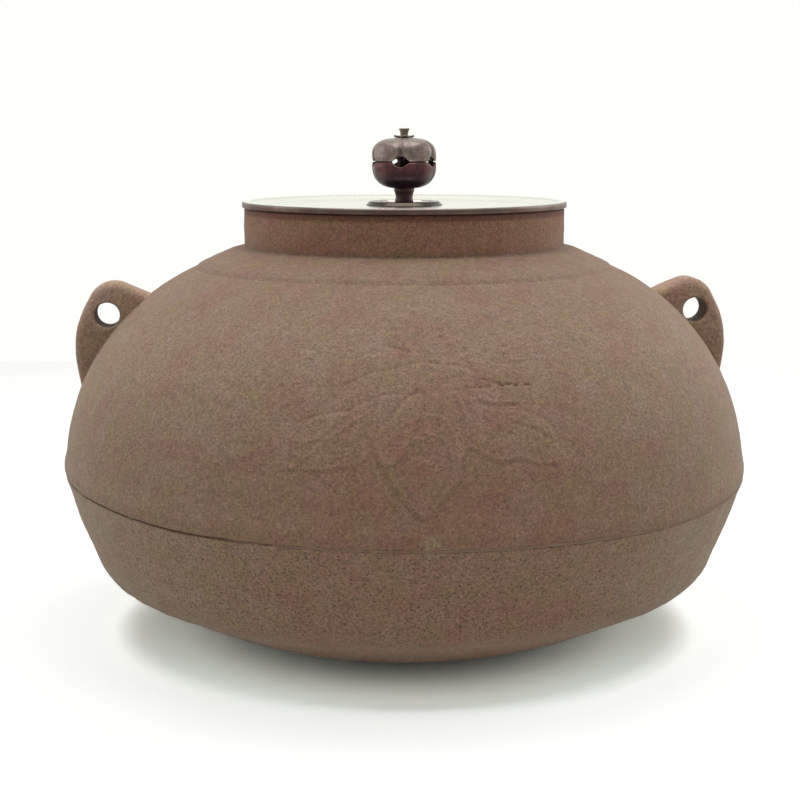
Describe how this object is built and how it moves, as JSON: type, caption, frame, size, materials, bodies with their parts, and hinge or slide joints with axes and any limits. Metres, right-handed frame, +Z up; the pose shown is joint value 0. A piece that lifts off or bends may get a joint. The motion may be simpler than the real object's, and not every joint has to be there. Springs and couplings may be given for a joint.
{
  "type": "chagama kettle",
  "caption": "Wide round cast-iron tea kettle with a flat bronze lift-off lid, pierced bell knob, two ring lugs and a lapped waist seam.",
  "frame": {"origin": "centre of the flat base, on the table", "axes": "+Z up along the kettle's axis, lugs along X, the cast leaf spray faces -Y"},
  "size_m": [0.2516, 0.2514, 0.1851],
  "materials": {
    "iron_patina": "sand-cast iron under a dry brown patina",
    "iron_bottom": "coarser pitted sand-cast iron under a brown patina",
    "iron_inside": "dark oxidised iron plate",
    "lute": "hardened lacquer and iron-powder lute",
    "lid_bronze": "turned bronze, worn and polished, brown at the rim",
    "seat_bronze": "turned bronze, dark in the dish",
    "knob_dark_bronze": "dark purple-brown patinated bronze",
    "knob_grey_bronze": "grey-brown patinated bronze with a soft sheen",
    "rod_copper": "tan copper alloy"
  },
  "bodies": {
    "kettle": {"upper_body": "iron_patina", "bottom": "iron_bottom", "seam_lute": "lute", "left_lug": "iron_patina", "right_lug": "iron_patina", "sound_plate_1": "iron_inside", "sound_plate_2": "iron_inside", "sound_plate_3": "iron_inside", "sound_plate_lute": "lute"},
    "lid": {"lid_plate": "lid_bronze", "lid_ring": "lid_bronze", "knob_seat": "seat_bronze"},
    "knob": {"knob_stem": "knob_dark_bronze", "knob_lower_shell": "knob_dark_bronze", "knob_spacer": "knob_dark_bronze", "knob_upper_shell": "knob_grey_bronze", "tip_washer": "knob_grey_bronze", "knob_rod": "rod_copper", "back_washer": "lid_bronze"}
  },
  "joints": [
    {"name": "lid_lift", "type": "slide", "parent": "kettle", "child": "lid", "axis": [0, 0, 1], "range_m": [0, 0.08]},
    {"name": "knob_turn", "type": "hinge", "parent": "lid", "child": "knob", "pos_m": [0, 0, 0.16], "axis": [0, 0, 1], "continuous": true}
  ]
}
